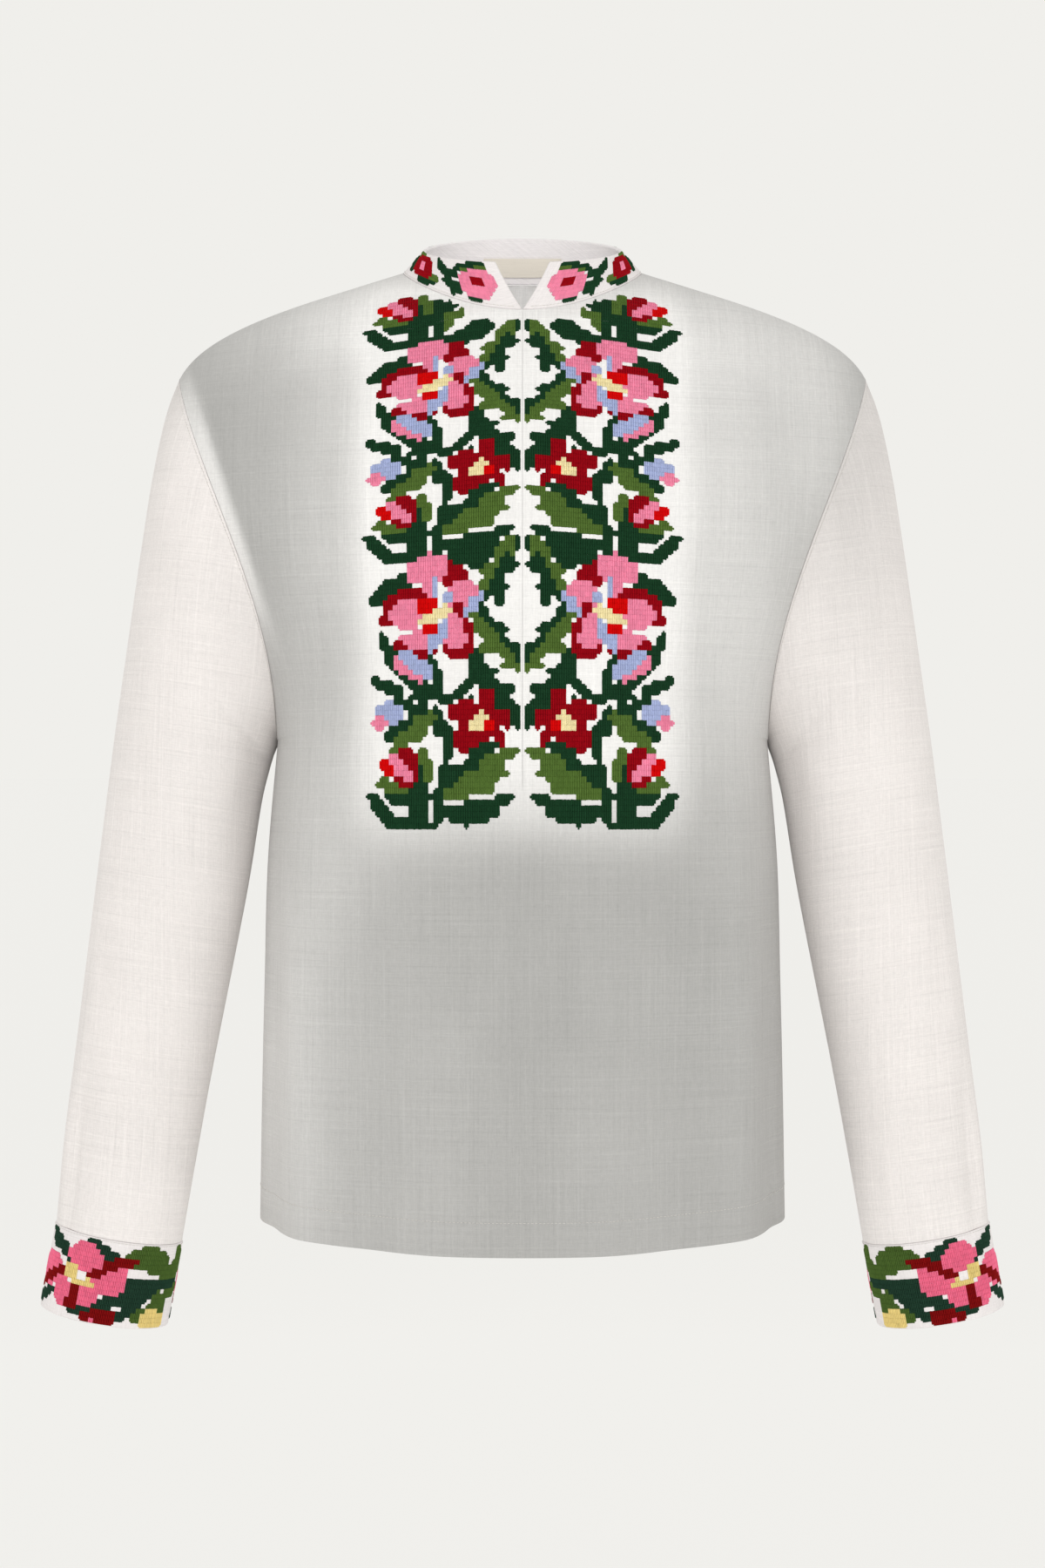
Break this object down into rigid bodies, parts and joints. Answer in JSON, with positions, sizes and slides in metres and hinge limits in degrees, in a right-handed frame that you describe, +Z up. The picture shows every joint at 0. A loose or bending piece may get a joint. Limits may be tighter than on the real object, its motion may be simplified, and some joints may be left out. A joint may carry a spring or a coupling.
{
  "type": "vyshyvanka shirt",
  "caption": "Long-sleeved linen shirt in its hollow worn form, with a low open stand collar, a slit front, dropped sleeves and band cuffs, under counted floral embroidery.",
  "frame": {"origin": "where the wearer's shoulders carry the shirt: on the middle line, level with the shoulder seams at the neck, between front and back", "axes": "+Z up, the front faces -Y, and the wearer's left sleeve is on +X"},
  "size_m": [0.6744, 0.2481, 0.7793],
  "materials": {
    "linen": "plain-woven washed linen, matt",
    "sleeve_linen": "plain-woven washed linen, matt",
    "label_cream": "plain woven label, bare",
    "embroidery_thread": "stranded embroidery cotton with a soft lustre, in greens, pinks, reds, lilac and yellow"
  },
  "bodies": {
    "root": {"front_panel_left": "linen", "front_panel_right": "linen", "back_panel_left": "linen", "back_panel_right": "linen", "collar": "linen", "neck_label": "label_cream", "sleeve_left_front": "sleeve_linen", "sleeve_left_back": "sleeve_linen", "sleeve_right_front": "sleeve_linen", "sleeve_right_back": "sleeve_linen", "cuff_left": "sleeve_linen", "cuff_right": "sleeve_linen"}
  },
  "joints": []
}
